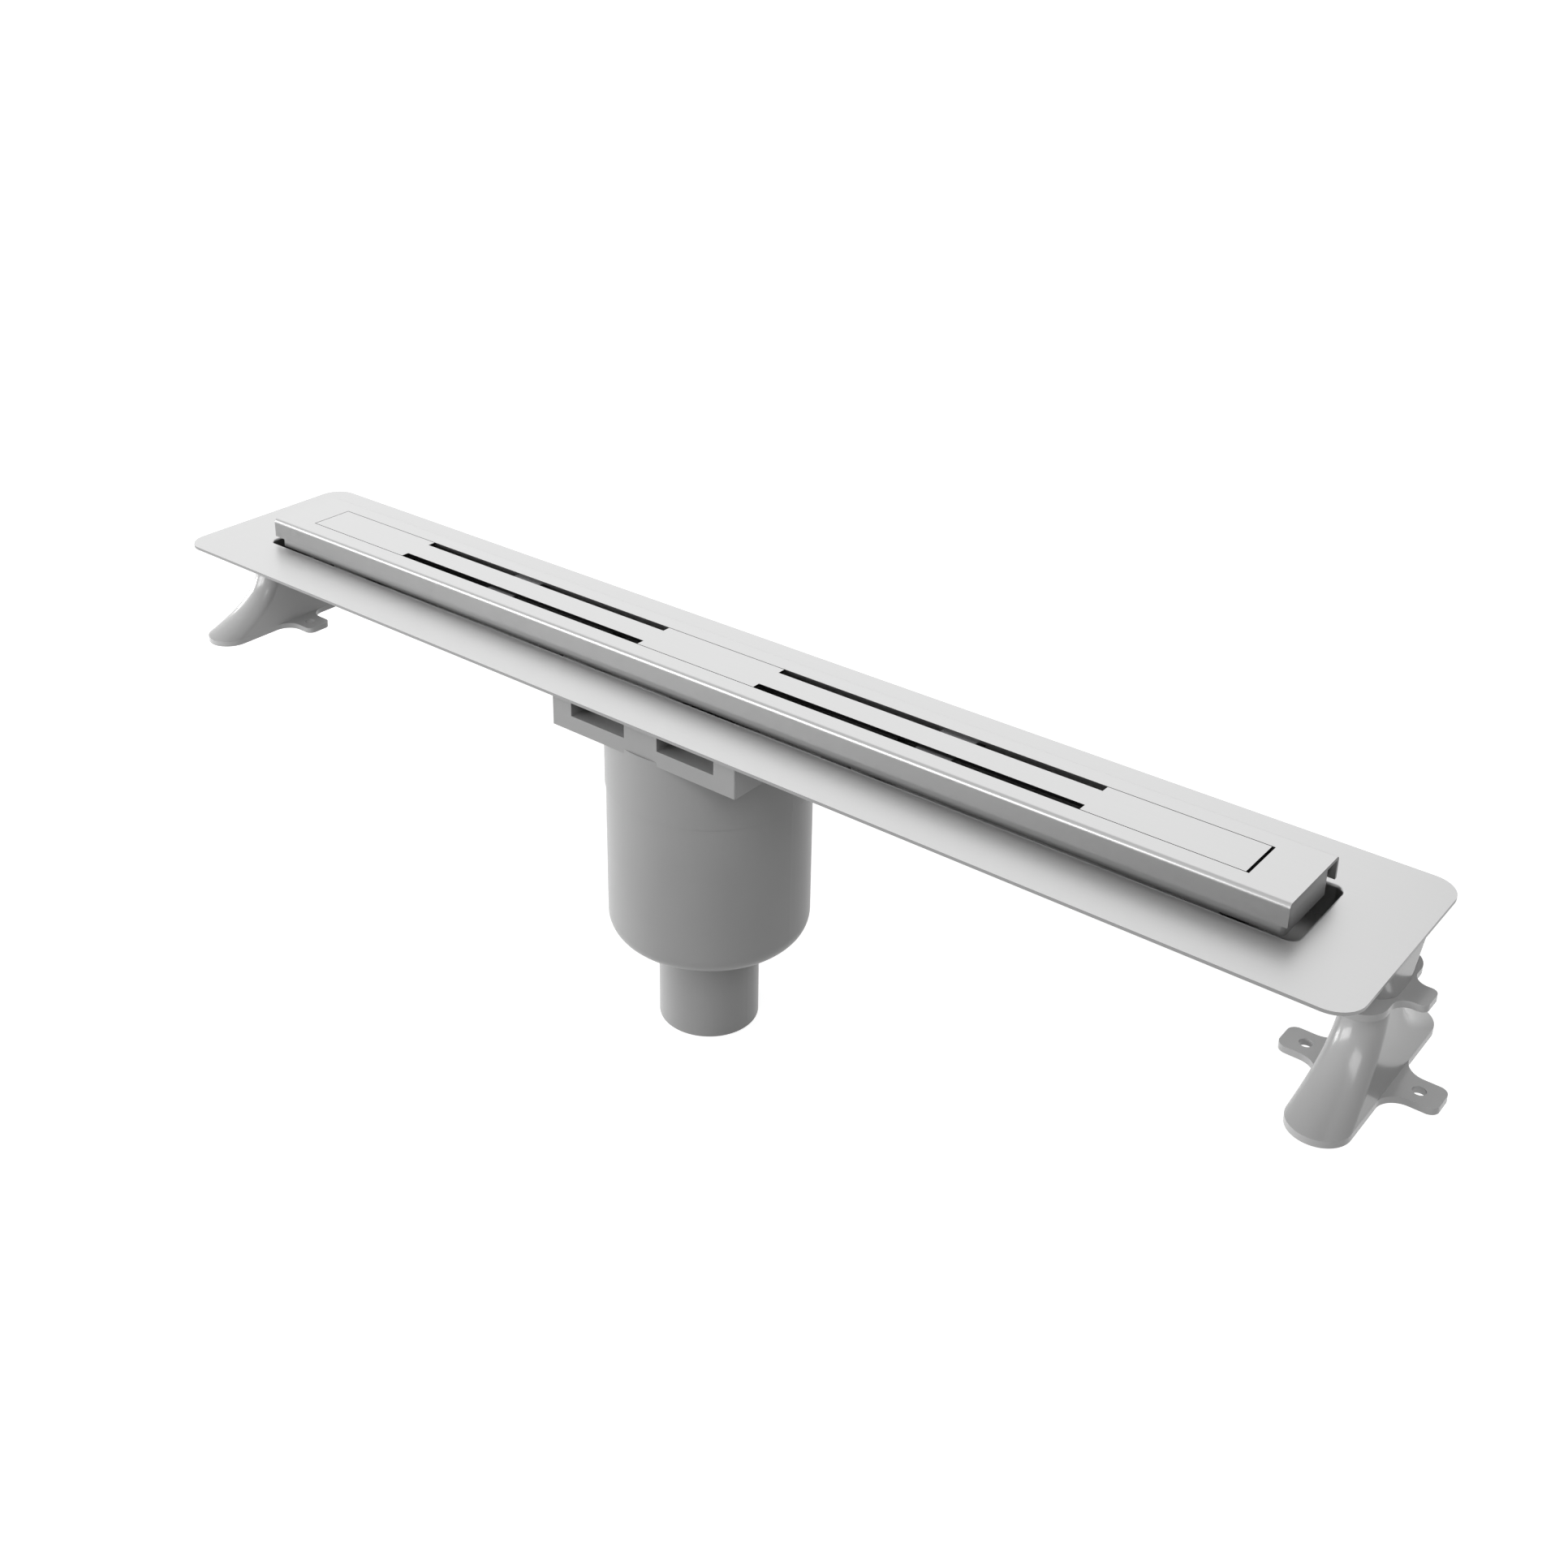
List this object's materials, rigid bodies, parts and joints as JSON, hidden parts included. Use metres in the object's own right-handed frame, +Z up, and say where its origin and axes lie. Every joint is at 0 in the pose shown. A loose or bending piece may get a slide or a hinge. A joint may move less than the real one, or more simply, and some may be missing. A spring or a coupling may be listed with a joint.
{
  "type": "linear shower drain",
  "caption": "Long flanged shower channel with a raised slotted cover, a round water trap with a vertical outlet and height adjustable legs.",
  "frame": {"origin": "centre of the flange's top face", "axes": "+X along the channel, +Y to the back, +Z up"},
  "size_m": [0.7096, 0.11, 0.1975],
  "materials": {
    "brushed_stainless": "fine brushed stainless steel sheet",
    "zinc_steel": "zinc plated steel",
    "grey_moulding": "grey moulded polypropylene",
    "white_moulding": "pale moulded polypropylene",
    "leg_moulding": "smooth moulded nylon",
    "black_rubber": "moulded sealing rubber"
  },
  "bodies": {
    "root": {"body_seal": "black_rubber", "carrier_pad_1": "white_moulding", "carrier_pad_2": "white_moulding", "carrier_pad_3": "white_moulding", "carrier_pad_4": "white_moulding", "carrier_pad_5": "white_moulding", "carrier_pad_6": "white_moulding", "carrier_pad_7": "white_moulding", "carrier_pad_8": "white_moulding", "channel_body": "brushed_stainless", "clamp_sleeve": "white_moulding", "cover_carrier": "brushed_stainless", "cover_frame": "brushed_stainless", "cover_insert": "brushed_stainless", "dip_tube": "white_moulding", "dip_tube_seal": "black_rubber", "hair_sieve": "brushed_stainless", "head_gasket": "black_rubber", "insert_support_1": "brushed_stainless", "insert_support_2": "brushed_stainless", "insert_support_3": "brushed_stainless", "insert_support_4": "brushed_stainless", "insert_support_5": "brushed_stainless", "leg_bracket_left": "leg_moulding", "leg_bracket_right": "leg_moulding", "leg_foot_left": "leg_moulding", "leg_foot_right": "leg_moulding", "level_stud_left": "zinc_steel", "level_stud_right": "zinc_steel", "lock_nut_left": "zinc_steel", "lock_nut_right": "zinc_steel", "lock_plate_left": "leg_moulding", "lock_plate_right": "leg_moulding", "siphon_body": "grey_moulding", "siphon_head": "grey_moulding", "trap_cup": "white_moulding", "weld_studs": "zinc_steel"}
  },
  "joints": []
}
